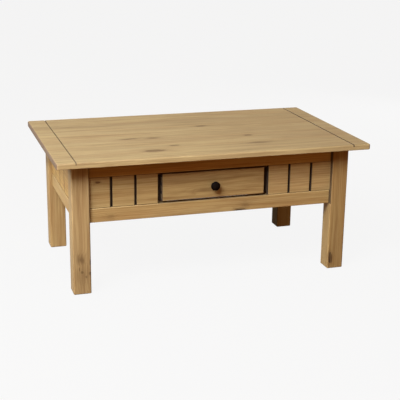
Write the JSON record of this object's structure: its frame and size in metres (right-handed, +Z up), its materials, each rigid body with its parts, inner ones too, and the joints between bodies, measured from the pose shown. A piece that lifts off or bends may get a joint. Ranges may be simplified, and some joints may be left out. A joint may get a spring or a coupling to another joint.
{
  "type": "coffee table with drawer",
  "caption": "Low pine coffee table: overhanging top with grooved ends, square legs, grooved panel apron and a centre drawer with a round dark knob.",
  "frame": {"origin": "on the floor, under the middle of the top", "axes": "+X to the right along the length, +Y from the drawer front to the back, +Z up"},
  "size_m": [1, 0.6, 0.43],
  "materials": {
    "waxed_pine": "waxed, satin",
    "plain_pine": "planed, unfinished",
    "beech": "fluted dowel",
    "plywood": "sanded plywood",
    "zinc_steel": "bright zinc",
    "dark_metal": "black, satin"
  },
  "bodies": {
    "frame": {"table_top": "waxed_pine", "leg_front_left": "waxed_pine", "leg_front_right": "waxed_pine", "leg_back_left": "waxed_pine", "leg_back_right": "waxed_pine", "front_top_rail": "waxed_pine", "front_bottom_rail": "waxed_pine", "front_panel_left": "waxed_pine", "front_panel_right": "waxed_pine", "back_top_rail": "waxed_pine", "back_panel": "waxed_pine", "back_bottom_rail": "waxed_pine", "left_top_rail": "waxed_pine", "left_panel": "waxed_pine", "left_bottom_rail": "waxed_pine", "right_top_rail": "waxed_pine", "right_panel": "waxed_pine", "right_bottom_rail": "waxed_pine", "corner_block_front_left": "plain_pine", "corner_block_front_right": "plain_pine", "corner_block_back_left": "plain_pine", "corner_block_back_right": "plain_pine", "drawer_runner_left": "plain_pine", "drawer_runner_right": "plain_pine", "drawer_guide_left": "plain_pine", "drawer_guide_right": "plain_pine", "drawer_kicker_left": "plain_pine", "drawer_kicker_right": "plain_pine", "drawer_stops": "plain_pine", "rail_dowels": "beech", "corner_block_screws": "zinc_steel", "top_screws": "zinc_steel", "hanger_bolts": "zinc_steel", "hanger_washers": "zinc_steel", "hanger_nuts": "zinc_steel", "top_brackets": "zinc_steel", "bracket_screws": "zinc_steel", "stop_screws": "zinc_steel"},
    "drawer": {"drawer_front": "waxed_pine", "drawer_side_left": "plain_pine", "drawer_side_right": "plain_pine", "drawer_back": "plain_pine", "drawer_bottom": "plywood", "drawer_bottom_screws": "zinc_steel", "drawer_knob": "dark_metal", "knob_screw": "zinc_steel"}
  },
  "joints": [
    {"name": "drawer_slide", "type": "slide", "parent": "frame", "child": "drawer", "axis": [0, -1, 0], "range_m": [0, 0.28]}
  ]
}
